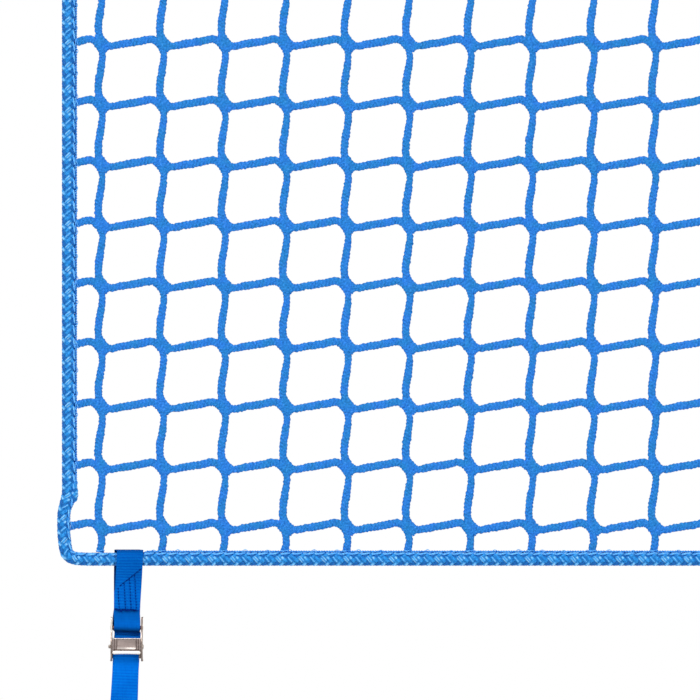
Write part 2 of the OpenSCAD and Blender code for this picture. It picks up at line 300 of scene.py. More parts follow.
def make_floor():
    """A pale round floor under the tails, which fades into the white backdrop."""
    mesh = bpy.data.meshes.new("floor")
    build = bmesh.new()
    bmesh.ops.create_circle(build, cap_ends=True, radius=FLOOR_RADIUS, segments=96)
    build.to_mesh(mesh)
    build.free()
    floor = place_in_scene("floor", mesh)
    floor.location = (0, 0, cad_box[0][2] - FLOOR_DROP)
    m = Material("floor", 0.9)
    m.colour((0.86, 0.86, 0.86, 1))
    fade = m.span(m.add("VectorMath", {0: m.place}, "Value", operation="LENGTH"), *FLOOR_FADES)
    amount = m.maths("MULTIPLY", fade, m.add("LightPath", {}, "Is Camera Ray"))
    lit = m.nodes["Principled BSDF"].outputs[0]
    mix = m.add("MixShader", {"Fac": amount, 1: lit, 2: m.add("Emission", {})})
    m.put(mix, m.nodes["Material Output"].inputs["Surface"])
    mesh.materials.append(m.data)


make_camera()
make_world()
make_floor()
for lamp in LAMPS:
    make_lamp(*lamp)
bpy.context.scene.view_settings.view_transform = "Standard"


# --- Materials ---

def twine_material():
    m = Material("twine", 0.7, specular=0.12)
    flecks = m.ramp(m.noise(520, 4), (0.3, 8, 78, 164), (0.45, 32, 120, 212),
                    (0.6, 52, 140, 232), (0.76, 106, 172, 250))
    patches = m.ramp(m.noise(75, 2), (0.35, 32, 138, 200), (0.65, 46, 130, 234))
    m.paint_hollow_shade_by_crest(m.mix(0.45, flecks, patches), 0.58, 1.06)
    m.roughness(m.noise(300), 0.5, 0.72)
    m.bump(m.noise(1500), 0.35, 0.6)
    m.bump(m.add("TexVoronoi", {"Vector": m.place, "Scale": 620}, "Distance"), 0.4, 0.35)
    return m.data


def rope_material():
    """Painted highlights on yarns where the sheen and shade value is 1, and painted shade on
    strands where it is -1.
    """
    m = Material("rope", 0.55, specular=0.2)
    flecks = m.ramp(m.noise(420), (0.3, 14, 112, 196), (0.5, 34, 144, 226),
                    (0.72, 62, 166, 242))
    # The colour of the painted highlights on the yarns.
    light = m.ramp(m.noise(260, 2), (0.3, 104, 196, 255), (0.7, 168, 224, 255))
    mark = m.attribute("mark")
    body = m.mix(m.span(mark, 0, 1), flecks, light)
    # The dark blue is painted shade on strands; crest adds painted shade between them.
    m.paint_hollow_shade_by_crest(m.mix(m.span(mark, 0, -1), body, srgb(6, 92, 176)), 0.66, 1.02)
    m.roughness(m.noise(240), 0.4, 0.62)
    m.bump(m.noise(1300), 0.3, 0.5)
    return m.data


def seam_material(name, dark, middle, light):
    m = Material(name, 0.6, specular=0.1)
    body = m.ramp(m.noise(420), (0.3, *dark), (0.5, *middle), (0.75, *light))
    m.paint_hollow_shade_by_crest(body, 0.45, 1.0)
    m.bump(m.noise(1600), 0.25, 0.5)
    return m.data


def webbing_material():
    """Crest is 1 on a rib and 0 in a groove, which gets painted shade. The painted light value is
    painted light and shade that sets how bright the webbing is.
    """
    m = Material("webbing", 0.6, specular=0.01)
    clouds = m.noise(38, 2)
    # Painted shade: the grooves between ribs get a darker blue than the ribs.
    groove = m.ramp(clouds, (0.3, 0, 76, 183), (0.7, 1, 87, 201))
    rib = m.ramp(clouds, (0.3, 0, 102, 202), (0.7, 2, 117, 221))
    body = m.mix(m.attribute("crest"), groove, rib)
    yarn = m.noise(900, 2, stretch=(1, 0.2, 0.12))
    body = m.mix(m.span(yarn, 0.3, 0.7, 0, 0.25), body, srgb(6, 130, 236))
    # The colour is multiplied by the painted light and shade along each piece.
    m.colour(m.mix(1.0, body, m.attribute("tone"), "MULTIPLY"))
    m.roughness(m.noise(300), 0.38, 0.56)
    m.bump(yarn, 0.12, 0.5)
    m.bump(m.noise(1800, 2), 0.1, 0.4)
    return m.data


def thread_material():
    m = Material("stitch_thread", 0.6, specular=0.03)
    m.colour(m.ramp(m.noise(900, 2), (0.3, 1, 22, 92), (0.7, 3, 44, 136)))
    m.bump(m.noise(2600, 2), 0.08, 0.5)
    return m.data


def steel_material(name, dark, middle, light, roughness):
    """Brushed steel, with a painted highlight, nearly white, where the painted light value is 1,
    and painted shade, brown, where it is -1.
    """
    m = Material(name, roughness, metallic=1.0)
    streaks = m.noise(260, 4, stretch=(0.12, 1, 1))
    clouds = m.noise(120)
    body = m.ramp(streaks, (0.3, *dark), (0.52, *middle), (0.75, *light))
    worn = m.ramp(clouds, (0.35, *middle), (0.65, *light))
    tone = m.attribute("tone")
    body = m.mix(m.span(tone, 0, 1), m.mix(0.45, body, worn), srgb(255, 250, 242))
    m.colour(m.mix(m.span(tone, 0, -1), body, srgb(92, 62, 54)))
    m.roughness(clouds, roughness - 0.08, roughness + 0.12)
    m.bump(streaks, 0.03, 0.5)
    m.bump(m.noise(900), 0.03, 0.4)
    return m.data


LOOK = {
    "twine": twine_material(),
    "rope": rope_material(),
    "seam_thread": seam_material("seam_thread", (26, 112, 206), (52, 148, 238), (104, 190, 255)),
    "lacing": seam_material("lacing", (70, 156, 240), (98, 184, 255), (140, 214, 255)),
    "webbing": webbing_material(),
    "stitch_thread": thread_material(),
    "buckle_steel": steel_material(
        "buckle_steel", (112, 100, 92), (160, 148, 140), (196, 184, 172), 0.34),
    "lever_steel": steel_material(
        "lever_steel", (104, 92, 88), (128, 116, 112), (156, 143, 139), 0.46),
    "spring_steel": steel_material(
        "spring_steel", (96, 92, 88), (142, 138, 132), (190, 186, 178), 0.28),
}


# --- Curves and skins ---

def catmull(points, spacing, closed=False):
    """A smooth curve through the points, with about this spacing along it."""
    p = np.asarray(points, float)
    ends = (p[-1:], p[:2]) if closed else (2 * p[:1] - p[1:2], 2 * p[-1:] - p[-2:-1])
    p = np.concatenate([ends[0], p, ends[1]])
    t = np.linspace(0, 1, 24, endpoint=False)[:, None]
    out = []
    for a, b, c, d in zip(p, p[1:], p[2:], p[3:]):
        out.append(0.5 * (2 * b + (c - a) * t + (2 * a - 5 * b + 4 * c - d) * t ** 2
                          + (3 * b - a - 3 * c + d) * t ** 3))
    out.append(p[-2:-1])
    return resampled(np.concatenate(out), spacing)


def lengths(points):
    steps = np.linalg.norm(np.diff(points, axis=0), axis=1)
    return np.concatenate([[0], np.cumsum(steps)])


def resampled(points, spacing):
    along = lengths(points)
    count = max(2, int(round(along[-1] / spacing)) + 1)
    places = np.linspace(0, along[-1], count)
    return np.stack([np.interp(places, along, points[:, i])
                     for i in range(points.shape[1])], axis=1)


def softened(points, radius, spacing):
    """The polyline with its corners rounded over about this radius."""
    p = resampled(np.asarray(points, float), spacing)
    half = max(1, int(radius / spacing))
    kernel = np.hanning(2 * half + 3)[1:-1]
    kernel /= kernel.sum()
    padded = np.concatenate([2 * p[0] - p[half:0:-1], p, 2 * p[-1] - p[-2:-half - 2:-1]])
    return np.stack([np.convolve(padded[:, i], kernel, "valid")
                     for i in range(p.shape[1])], axis=1)


def arc(centre, radius, start, end, steps=16):
    angles = np.radians(np.linspace(start, end, steps + 1))
    return [(centre[0] + radius * math.cos(a), centre[1] + radius * math.sin(a)) for a in angles]


def directions(points, closed=False):
    """Unit tangents along a curve."""
    if closed:
        steps = np.roll(points, -1, axis=0) - np.roll(points, 1, axis=0)
    else:
        steps = np.gradient(points, axis=0)
    return steps / np.linalg.norm(steps, axis=1, keepdims=True)


def turns(sides):
    """Places round a cord, from 0 up to 1."""
    return np.linspace(0, 1, sides, endpoint=False)


def upright(flat, y=0.0):
    """Points in space, from points that begin with x and z."""
    return np.stack([flat[:, 0], np.broadcast_to(y, len(flat)), flat[:, 1]], axis=1)


def sideways(tangents):
    """The direction to the left of each tangent, square to y."""
    return np.stack([-tangents[:, 2], np.zeros(len(tangents)), tangents[:, 0]], axis=1)


def shifted(path, side, amount):
    return path + side * np.asarray(amount, float)[:, None]


def make_piece(name, points, faces, material, slot=None, **values):
    """A mesh object from points in millimetres, with values kept on its points."""
    mesh = bpy.data.meshes.new(name)
    mesh.from_pydata((np.asarray(points, float) * MM).tolist(), [], faces)
    mesh.polygons.foreach_set("use_smooth", [True] * len(mesh.polygons))
    for key, value in values.items():
        layer = mesh.attributes.new(key, "FLOAT", "POINT")
        layer.data.foreach_set("value", np.asarray(value, np.float32).ravel())
    mesh.materials.append(LOOK[material])
    mesh.update()
    piece = place_in_scene(name, mesh)
    return piece


def skin_faces(rings, sides, closed=False, start=0):
    """Quads between rings of points, with a cap at each open end."""
    i = np.arange(rings if closed else rings - 1)[:, None]
    j = np.arange(sides)[None, :]
    k = (j + 1) % sides
    n = (i + 1) % rings
    quads = np.stack([i * sides + j, i * sides + k, n * sides + k, n * sides + j], axis=-1)
    faces = (quads.reshape(-1, 4) + start).tolist()
    if not closed:
        faces.append([start + j for j in range(sides - 1, -1, -1)])
        faces.append([start + (rings - 1) * sides + j for j in range(sides)])
    return faces


def skin_piece(name, rings, material, **values):
    """A piece with one skin over rings of points."""
    return make_piece(name, rings.reshape(-1, 3), skin_faces(*rings.shape[:2]), material,
                      **values)


class Batch:
    """Several skins that become one piece."""

    def __init__(self):
        self.points, self.faces, self.crest, self.count = [], [], [], 0

    def skin(self, rings, crest=None, closed=False):
        n, m = rings.shape[:2]
        self.faces += skin_faces(n, m, closed, self.count)
        self.points.append(rings.reshape(-1, 3))
        self.crest.append(np.ones(n * m) * 0.8 if crest is None else np.ravel(crest))
        self.count += n * m

    def piece(self, name, material, slot=None):
        return make_piece(name, np.concatenate(self.points), self.faces, material, slot,
                          crest=np.concatenate(self.crest))


def tube_rings(path, radius, sides=10, guide=(0, 1, 0)):
    """Round rings along a path in space. Radius may change along it."""
    t = directions(path)
    u = np.cross(t, np.array(guide, float))
    u /= np.linalg.norm(u, axis=1, keepdims=True)
    v = np.cross(t, u)
    a = 2 * math.pi * turns(sides)[None, :, None]
    r = np.asarray(radius, float).reshape(-1, 1, 1)
    return path[:, None] + r * (np.cos(a) * u[:, None] + np.sin(a) * v[:, None])


Weave = namedtuple("Weave", "height on_top across along strand")


def braid(turn, along, pitch, strands):
    """A two-over-two braid, at places round a cord (turn, 0 to 1) and along it.

    Gives the height from 0 to 1, whether the first family is on top, the place across the
    top strand and along its float (0 to 1), and that strand's number. pitch is the distance
    along the cord from one strand to the next of its family.
    """
    p = strands * turn + along / pitch
    q = strands * turn - along / pitch
    state = (np.floor(p) + np.floor(q)) % 4
    on_top = state < 2
    across = np.where(on_top, p % 1, q % 1)
    float_place = (state % 2 + np.where(on_top, q % 1, p % 1)) / 2
    crown = np.sin(np.pi * across) ** 0.6
    bow = 0.35 + 0.65 * np.sin(np.pi * float_place) ** 0.5
    strand = np.where(on_top, np.floor(p), np.floor(q))
    return Weave(crown * bow, on_top, across, float_place, strand)


def yarn(weave, middle, half, start, stop):
    """A slim line along the strands: 1 in its middle, 0 away from it."""
    across = np.exp(-((weave.across - middle) / half) ** 2)
    ends = np.clip((weave.along - start) / 0.1, 0, 1) * np.clip((stop - weave.along) / 0.1, 0, 1)
    return across * ends


# --- Netting ---

TWINE_DEPTH = 2.1
TWINE_SIDES = 14
TWINE_RING = 0.85
TWINE_STRANDS = 3
TWINE_PITCH = 3.6
KNOT_STRANDS = 4
KNOT_PITCH = 3.4
# A twine ends this far inside the rope's axis, and has no more bends this near to its end
TWINE_END = ROPE_R + 0.6
LAST_BEND = TWINE_END + 4

# Control points round a junction, with the twine's half width at each: one twine comes from
# the left and leaves downwards, the other comes from above and leaves to the right, and they
# lie side by side on the slant.
FROM_LEFT = [(-10.1, 4.0, 3.75), (-2.25, -1.95, 3.6), (1.4, -11.4, 3.2), (-0.6, -28, 3.75),
             (-2.1, -37, 3.75)]
FROM_ABOVE = [(-2.3, 10.0, 3.6), (2.3, 1.95, 3.6), (8.9, -2.6, 3.5), (20, -0.8, 3.75),
              (37.2, 1.95, 3.85)]
END_HALF = 3.75
# The slant that two twines share at a junction, and the strands in the crotch below it
SLANT = np.array([5.6, -8.6])
CROTCH = [(1.6, -7.0), (4.6, -5.9), (7.2, -4.4), (10.2, -3.4)]
# The last row's twines go straight down to the rope
LAST_FROM_LEFT = FROM_LEFT[:2] + [(0.8, -11.4, 3.5)]


def junction(i, j):
    x = LEFT + (i + 0.5) * MESH_W + COLUMN_OFFSET
    z = BOTTOM + (j + 0.5) * MESH_H + ROW_OFFSET
    return np.array([x, z])


def rope_aside(height):
    """How far the left rope's axis stands aside at a height over the bottom rope."""
    outs, heights = np.array(SPLICED_CORNER[:8]).T
    return float(np.interp(height, heights[::-1], outs[::-1]))


def staircase(i, j, from_left):
    """Centreline of the twine that enters the netting at junction i, j."""
    across, up = junction(i, j)
    points = [(LEFT + rope_aside(up - BOTTOM) + TWINE_END, up + 1.1, END_HALF) if from_left
              else (across - 2.1, TOP - TWINE_END, END_HALF)]
    while i < COLUMNS and j >= 0:
        centre = junction(i, j)
        steps = FROM_LEFT if j > 0 else LAST_FROM_LEFT
        for x, z, half in steps if from_left else FROM_ABOVE:
            point = centre + (x, z)
            if point[0] < RIGHT - LAST_BEND and point[1] > BOTTOM + LAST_BEND:
                points.append((*point, half))
        i, j = (i, j - 1) if from_left else (i + 1, j)
        from_left = not from_left
    last = points[-1]
    points.append((last[0] - 1.7, BOTTOM + TWINE_END, END_HALF) if j < 0
                  else (RIGHT - TWINE_END, last[1] + 0.6, END_HALF))
    return np.array(points)


def make_twine(name, line, seed):
    flat = catmull(line, TWINE_RING)
    path = upright(flat)
    side = sideways(directions(path))
    turn = turns(TWINE_SIDES)[None, :]
    along = lengths(path)[:, None]
    height = braid(turn, along + seed * 3.7, TWINE_PITCH, TWINE_STRANDS).height
    rng = np.random.default_rng(seed)
    knob_places = np.arange(0, along[-1, 0] + 4, 2.0)
    one_side, other_side = (np.interp(along, knob_places, rng.normal(0, 0.24, len(knob_places)))
                            for _ in range(2))
    a = 2 * math.pi * turn
    swell = 0.75 * (height - 0.55) + np.where(np.cos(a) > 0, one_side, other_side)
    half = (flat[:, 2:3] + swell) * np.cos(a)
    from_end = np.minimum(along, along[-1] - along)
    deep = (TWINE_DEPTH + 0.8 * swell) * np.clip(0.45 + 0.11 * from_end, 0, 1) * np.sin(a)
    rings = path[:, None] + half[..., None] * side[:, None]
    rings[..., 1] += deep
    # crest gives painted shade between the twine's strands and towards its sides, where it turns
    # away from the light.
    return skin_piece(name, rings, "twine", crest=height * (0.5 + 0.5 * np.abs(np.sin(a)) ** 0.6))


def make_netting():
    """Makes the netting and returns where its twines end on the rope, and which way."""
    ends = []
    starts = [(0, j, True) for j in range(ROWS)] + [(i, ROWS - 1, False) for i in range(COLUMNS)]
    for number, (i, j, from_left) in enumerate(starts):
        side = "row" if from_left else "column"
        name = f"twine_{side}_{(j if from_left else i) + 1}"
        line = staircase(i, j, from_left)
        ends += [(line[0, :2], line[1, :2]), (line[-1, :2], line[-2, :2])]
        twine = make_twine(name, line, number + 1)
        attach(twine, "net")
        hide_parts("row_twines", "column_twines")
    make_knots()
    return ends


def make_knots():
    """The strands that pass from one twine into the other and fill each junction."""
    turn = turns(16)[None, :]
    a = 2 * math.pi * turn
    place = np.linspace(-1, 1, 23)[:, None]
    unit = SLANT / np.linalg.norm(SLANT)
    fill = upright(catmull(CROTCH, 0.8))
    fill_r = 0.4 + 1.7 * np.sin(np.pi * np.linspace(0, 1, len(fill))) ** 0.7
    batch = Batch()
    for i in range(COLUMNS):
        for j in range(ROWS):
            centre = junction(i, j)
            rng = np.random.default_rng(1000 + i * ROWS + j)
            height = braid(turn, place * 10 + rng.uniform(0, 9), KNOT_PITCH, KNOT_STRANDS).height
            swell = 1 + 0.3 * (height - 0.5)
            across = (0.5 + 3.9 * (1 - np.abs(place) ** 1.7)) * swell * np.cos(a)
            deep = (0.5 + 1.9 * (1 - place ** 4)) * swell * np.sin(a)
            flat = centre + place[..., None] * SLANT + across[..., None] * (-unit[1], unit[0])
            # The braid's height becomes crest on this skin and the next, which paints shade
            # between the strands.
            batch.skin(np.stack([flat[..., 0], deep, flat[..., 1]], axis=-1), height)
            along = lengths(fill)[:, None] + rng.uniform(0, 9)
            height = braid(turn, along, KNOT_PITCH, KNOT_STRANDS).height
            batch.skin(tube_rings(fill + (centre[0], 0, centre[1]), fill_r, 16), height)
    knots = batch.piece("junction_strands", "twine")
    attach(knots, "net")
    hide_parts("row_twines", "column_twines")


# --- Border rope ---

ROPE_SIDES = 64
ROPE_RING = 0.7
ROPE_STRANDS = 6
ROPE_PITCH = 5.54
CORNER = 17.0
# How the rope's axis steps out below the splice and turns the bottom left corner
SPLICED_CORNER = [(0, 66), (-0.9, 60), (-2.6, 53), (-4.3, 45), (-4.6, 36), (-4.5, 26),
                  (-3.8, 18.5), (-2.9, 11.3), (-0.9, 5.2), (4.3, 1.5), (12.4, 0.3), (21.5, 0),
                  (32, 0), (46, 0)]


def corner_points(x, z, start):
    return [(x + CORNER * math.cos(a), z + CORNER * math.sin(a))
            for a in np.radians(np.linspace(start, start + 90, 7))]


def rope_line():
    """The rope's axis, from the middle of the top side, anticlockwise."""
    left, right, low, high = LEFT + CORNER, RIGHT - CORNER, BOTTOM + CORNER, TOP - CORNER
    points = [(x, TOP) for x in np.linspace(0, left + 30, 8)]
    points += corner_points(left, high, 90)
    points += [(LEFT, z) for z in np.linspace(high - 30, BOTTOM + 90, 14)]
    points += [(LEFT + x, BOTTOM + z) for x, z in SPLICED_CORNER]
    points += [(x, BOTTOM) for x in np.linspace(LEFT + 60, right - 30, 14)]
    points += corner_points(right, low, 270)
    points += [(RIGHT, z) for z in np.linspace(low + 30, high - 30, 14)]
    points += corner_points(right, high, 0)
    points += [(x, TOP) for x in np.linspace(right - 30, 60, 7)]
    return catmull(points, ROPE_RING, closed=True)[:-1]


def rope_sheen_and_shade(weave):
    """Painted highlights on yarns, 1, and painted shade on strands, -1: a pair, a plain strand, a
    long yarn, a short.
    """
    kind = weave.strand % 4
    pair = yarn(weave, 0.2, 0.12, 0.06, 0.86) + yarn(weave, 0.76, 0.12, 0.14, 0.96)
    long = yarn(weave, 0.5, 0.13, 0.08, 1.0) - 0.3
    short = yarn(weave, 0.5, 0.2, 0.06, 0.44)
    facing = np.select([kind == 0, kind == 2, kind == 3], [pair, long, short], -0.05)
    edge = np.where(kind % 2 == 0, yarn(weave, 0.5, 0.26, 0.1, 0.6), -0.85)
    return np.clip(np.where(weave.on_top, edge, facing), -1, 1)


def make_rope():
    flat = rope_line()
    path = upright(flat)
    inwards = sideways(directions(path, closed=True))
    along = np.arange(len(path))[:, None] * ROPE_RING
    whole = along[-1, 0] + ROPE_RING
    pitch = whole / (4 * round(whole / (4 * ROPE_PITCH)))
    turn = turns(ROPE_SIDES)[None, :]
    weave = braid(turn + 1 / 24, along, pitch, ROPE_STRANDS)
    height, mark = weave.height, rope_sheen_and_shade(weave)
    radius = ROPE_R - 1.0 + 1.9 * height
    a = 2 * math.pi * turn
    rings = path[:, None] + (radius * np.cos(a))[..., None] * inwards[:, None]
    rings[..., 1] -= radius * np.sin(a)
    quarter = len(path) // 4
    first = int(np.argmin(np.hypot(flat[:, 0] - LEFT, flat[:, 1] - TOP)))
    rings, height, mark = (np.roll(v, -first, axis=0) for v in (rings, height, mark))
    for number, side in enumerate(("left", "bottom", "right", "top")):
        begin = number * quarter
        end = len(path) if side == "top" else begin + quarter
        index = np.arange(begin, end + 1) % len(path)
        # crest paints shade between the strands, and the other value paints highlights and shade
        # on them.
        piece = skin_piece("rope_" + side, rings[index], "rope", crest=height[index],
                           mark=mark[index])
        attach(piece, "net")
        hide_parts("border_rope")
    return path, inwards


def make_splice():
    """The rope's tucked end, a lump on the netting's side of the rope."""
    line = [(4.8, -2.8, 56.4), (5.7, -3.0, 59), (6.0, -2.6, 63), (5.6, -1.8, 70), (4.2, -1.2, 78)]
    path = catmull(line, 0.5) + np.array([LEFT, 0, BOTTOM])
    place = np.linspace(0, 1, len(path))
    radius = 0.5 + 5.2 * place ** 0.3 * (1 - place) ** 0.55
    rings = tube_rings(path, radius, 28)
    weave = braid(turns(28)[None, :], lengths(path)[:, None], 4.4, 4)
    centre = path[:, None]
    rings = centre + (rings - centre) * (1 + 0.22 * (weave.height - 0.5))[..., None]
    # Painted shade between the strands, and painted highlights and shade on them, as on the rope.
    piece = skin_piece("rope_end", rings, "rope", crest=weave.height, mark=rope_sheen_and_shade(weave))
    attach(piece, "net")
    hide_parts("rope_splice")


# --- Seam and lacing ---

# The distance between the seam's knobs, and how far its middle is from the rope's axis
KNOB = 2.5
SEAM_OUT = ROPE_R + 1.25
# How much nearer to the rope the seam lies at the spliced corner and under a strap
CORNER_DROP = 2.1
STRAP_DROP = 1.15
LACING_STEP = 22.2


def at_spliced_corner(path):
    """1 where the rope's axis is near the spliced corner, 0 far from it."""
    x, z = path[:, 0] - LEFT, path[:, 2] - BOTTOM
    return np.clip((60 - z) / 10, 0, 1) * np.clip((72 - x) / 8, 0, 1)


def under_strap(path):
    """1 where a strap's webbing presses the seam flat against the rope, 0 elsewhere."""
    aside = np.min([np.abs(path[:, 0] - PLACE[strap].origin[0]) for strap in STRAPS], axis=0)
    return np.clip((17.5 - aside) / 2, 0, 1)


def make_seam(path, inwards, ends):
    """The netting's knobbly edge along the rope, and the light thread that laces it on."""
    along = np.arange(len(path))[:, None] * ROPE_RING
    a = 2 * math.pi * turns(8)[None, :]
    bump = np.abs(np.sin(0.5 * a + math.pi * along / KNOB)) ** 0.7
    r = 0.4 + 0.95 * bump
    corner = at_spliced_corner(path)
    flat = under_strap(path)
    centre = shifted(path, inwards,
                     SEAM_OUT - np.maximum(CORNER_DROP * corner, STRAP_DROP * flat))
    rings = centre[:, None] + (r * np.cos(a))[..., None] * inwards[:, None]
    rings[..., 1] -= 1.1 * r * np.sin(a)
    seam = Batch()
    # The knobs' bump becomes crest, which paints shade between the knobs.
    seam.skin(rings, bump, closed=True)
    piece = seam.piece("seam_edge", "seam_thread")
    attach(piece, "net")
    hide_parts("seam_cord")

    lacing = Batch()
    rng = np.random.default_rng(7)
    count = int(lengths(path)[-1] / LACING_STEP) * 2
    for number in range(count):
        middle = int(len(path) * (number + 0.5) / count) + int(rng.integers(-1, 2))
        lacing_stitch(lacing, path, inwards, middle, corner)
        place = (middle + 6) % len(path)
        if number % 2 == 0 and corner[place] == 0:
            size = rng.uniform(0.8, 1.15)
            if flat[place] == 0:
                lacing_loop(lacing, path, inwards, place, size)
    for end, towards in ends:
        twine_whipping(lacing, end, towards)
    piece = lacing.piece("seam_lacing", "lacing", "seam_thread")
    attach(piece, "net")
    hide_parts("seam_cord")


def lacing_stitch(batch, path, inwards, middle, corner):
    """A slanting run of thread on the rope's shoulder."""
    index = (np.arange(-7, 8) + middle) % len(path)
    place = np.linspace(0, 1, len(index))
    out = 4.7 + 1.5 * place - 0.7 * corner[index]
    run = shifted(path[index], inwards[index], out)
    run[:, 1] -= np.sqrt(np.maximum((ROPE_R + 0.95) ** 2 - out ** 2, 0.2))
    batch.skin(tube_rings(run, 0.2 + 0.75 * np.sin(np.pi * place) ** 0.5, 8))


def lacing_loop(batch, path, inwards, middle, size):
    """A thin loop of thread round the netting's edge."""
    index = (np.arange(-4, 5) + middle) % len(path)
    place = np.linspace(-1, 1, len(index))
    rise = np.sqrt(1 - place ** 2)
    for side in (-1, 1):
        loop = shifted(path[index], inwards[index], ROPE_R + 0.1 + 2.9 * size * rise)
        loop[:, 1] += side * (2.4 - 1.5 * rise)
        batch.skin(tube_rings(loop, 0.34, 8))


def twine_whipping(batch, end, towards):
    """Turns of light thread round a twine where it meets the rope."""
    along = (towards - end) / np.linalg.norm(towards - end)
    across = np.array([-along[1], along[0]])
    a = np.linspace(0, 2 * math.pi, 25)
    for place, slant in ((0.4, 0.9), (1.9, -0.8)):
        flat = (end + np.outer(place + slant * np.cos(a), along)
                + np.outer(4.1 * np.cos(a), across))
        turn = upright(flat, -(TWINE_DEPTH + 0.5) * np.sin(a))
        batch.skin(tube_rings(turn, 0.38, 8, guide=(along[0], 0.01, along[1])))


# --- Webbing ---

RIB = 2.9
WEB_STEP = 0.36
# Where the webbing's runs and bends lie in a strap's frame
LOOP_R = 8.75
THROAT = 18.0
STACK_END = 49.5
BAR_S = 66.8
BAR_BEND = 3.0
THROUGH_Y = 2.05
BACK_Y = 5.95
BEHIND_Y = 7.95
WRAP = (4, 77)
WRAP_R = 1.95
NOSE = 97.0
LEGS_START = 100.0
LEGS_BEND = 132.0
RAIL_S = -TOP
RAIL_MID = 17.75
ARCH_START = 104.0
ARCH_R = 18.0
ARCH_Y = THROUGH_Y - 2 * ARCH_R
TOP_TAIL_END = 8.0
TAIL_LENGTH = 200.0
LOOP_ASIDE = 1.0
FOLD_ASIDE = 0.8
# How bright the webbing's back is. Its front has painted light and shade of its own along each
# piece.
BACK_TONE = 0.95
# How far each buckle sits to the right on its webbing, and the degrees that it is turned
BUCKLE_SEAT = {"top_left": (0.3, -0.8), "top_right": (-0.4, 1.0), "bottom_left": (1.1, 2.0),
               "bottom_right": (-0.5, -1.2)}
# Where each tail starts across the buckle, and how much it drifts to the left per millimetre
TAIL_ASIDE = {"top_left": (0.2, 0.004), "top_right": (-0.3, -0.006),
              "bottom_left": (1.1, 0.027), "bottom_right": (-0.4, -0.012)}


def web_section(width, thickness, columns):
    """Closed outline across the webbing: offset across it and height on its two faces."""
    half = width / 2
    bulge = thickness / 2
    xs = np.linspace(-1, 1, columns) * (half - 1.3)
    edge = [(half - 0.45, 0.92), (half - 0.1, 0.6), (half, 0), (half - 0.1, -0.6),
            (half - 0.45, -0.92)]
    points = [(x, 1.0) for x in xs] + edge + [(x, -1.0) for x in xs[::-1]]
    points += [(-x, -y) for x, y in edge]
    return np.array([(x, y * bulge) for x, y in points])


def ribbon_rings(path, shift=0.0, ribs=1.0, columns=7, pucker=None):
    """Rings of ribbed webbing along a path of y, s points in a strap's frame.

    Returns the rings, how far each point stands on a rib and how far it faces back.
    shift moves each ring across and ribs is how strong its ribs are. pucker gives how deep,
    from 0 to 1, stitches pull in the face with negative height, at x, y and s.
    """
    t = directions(path)
    normal = np.stack([-t[:, 1], t[:, 0]], axis=1)
    groove = np.abs(np.sin(np.pi * lengths(path) / RIB)) ** 0.8
    groove = 0.72 + np.broadcast_to(ribs, len(path)) * (groove - 0.72)
    section = web_section(WEB_W, WEB_T, columns)
    height = section[:, 1]
    face = np.sign(height) * (np.abs(height) > 0.4 * WEB_T)
    off = height[None, :] + 0.2 * (groove[:, None] - 0.75) * face[None, :]
    x = section[None, :, 0] + np.broadcast_to(shift, len(path))[:, None]
    # Painted shade: crest is low in the grooves between ribs.
    crest = np.where(np.abs(face)[None, :] > 0, groove[:, None], 0.85)
    if pucker:
        pulled = pucker(x, path[:, 0:1], path[:, 1:2]) * (face[None, :] < 0)
        off = off + 0.3 * pulled
        # Painted shade where the stitches pull the face in.
        crest = crest * (1 - 0.5 * pulled)
    rings = np.stack([x, path[:, 0:1] + off * normal[:, 0:1], path[:, 1:2] + off * normal[:, 1:2]],
                     axis=-1)
    return rings, crest, np.clip(face[None, :] * normal[:, 0:1], 0, 1)


def rail_y(strap):
    return 0.0 if is_top(strap) else BACK_Y + RAIL_MID


def touch(strap, bend, side):
    """Angle, in degrees, at which a straight leg from a bend touches the rail."""
    v = np.array(bend) - (rail_y(strap), RAIL_S)
    reach = math.degrees(math.acos(RAIL_MID / math.hypot(*v)))
    return math.degrees(math.atan2(v[1], v[0])) + side * reach


def sewn_path():
    points = [(-1.5 * LAYER, STACK_END), (-1.5 * LAYER, THROAT)]
    points += arc((0, 0), LOOP_R, 160, 380, 40)
    points += [(-0.5 * LAYER, THROAT), (-0.5 * LAYER, STACK_END + 2)]
    points += arc((0, BAR_S), BAR_BEND, 180, 0, 20)
    points += [(0.5 * LAYER, STACK_END + 2), (0.5 * LAYER, THROAT + 8)]
    return points


def long_path(strap):
    top = is_top(strap)
    far = (BEHIND_Y, LEGS_BEND if top else LEGS_START - 2)
    near = (BACK_Y, LEGS_BEND if top else LEGS_START + 20)
    points = [(1.5 * LAYER, THROAT + 8), (1.5 * LAYER, STACK_END), (BEHIND_Y, WRAP[1] - 2), far]
    points += arc((rail_y(strap), RAIL_S), RAIL_MID, touch(strap, far, 1),
                  touch(strap, near, -1) + 360, 40)
    points += [near, (BACK_Y, WRAP[1] + 4)]
    points += arc(WRAP, WRAP_R, 0, -180, 20)
    points += [(THROUGH_Y, NOSE)]
    return points


def tail_points(strap):
    """The free tail's route: straight on, or at the top straps over a half turn and down."""
    if not is_top(strap):
        return [(THROUGH_Y, s) for s in np.linspace(NOSE, NOSE + TAIL_LENGTH, 24)]
    points = [(THROUGH_Y, NOSE)]
    points += arc((THROUGH_Y - ARCH_R, ARCH_START), ARCH_R, 0, 180, 16)
    points += [(ARCH_Y, s) for s in np.linspace(ARCH_START - 1, TOP_TAIL_END, 16)]
    return points


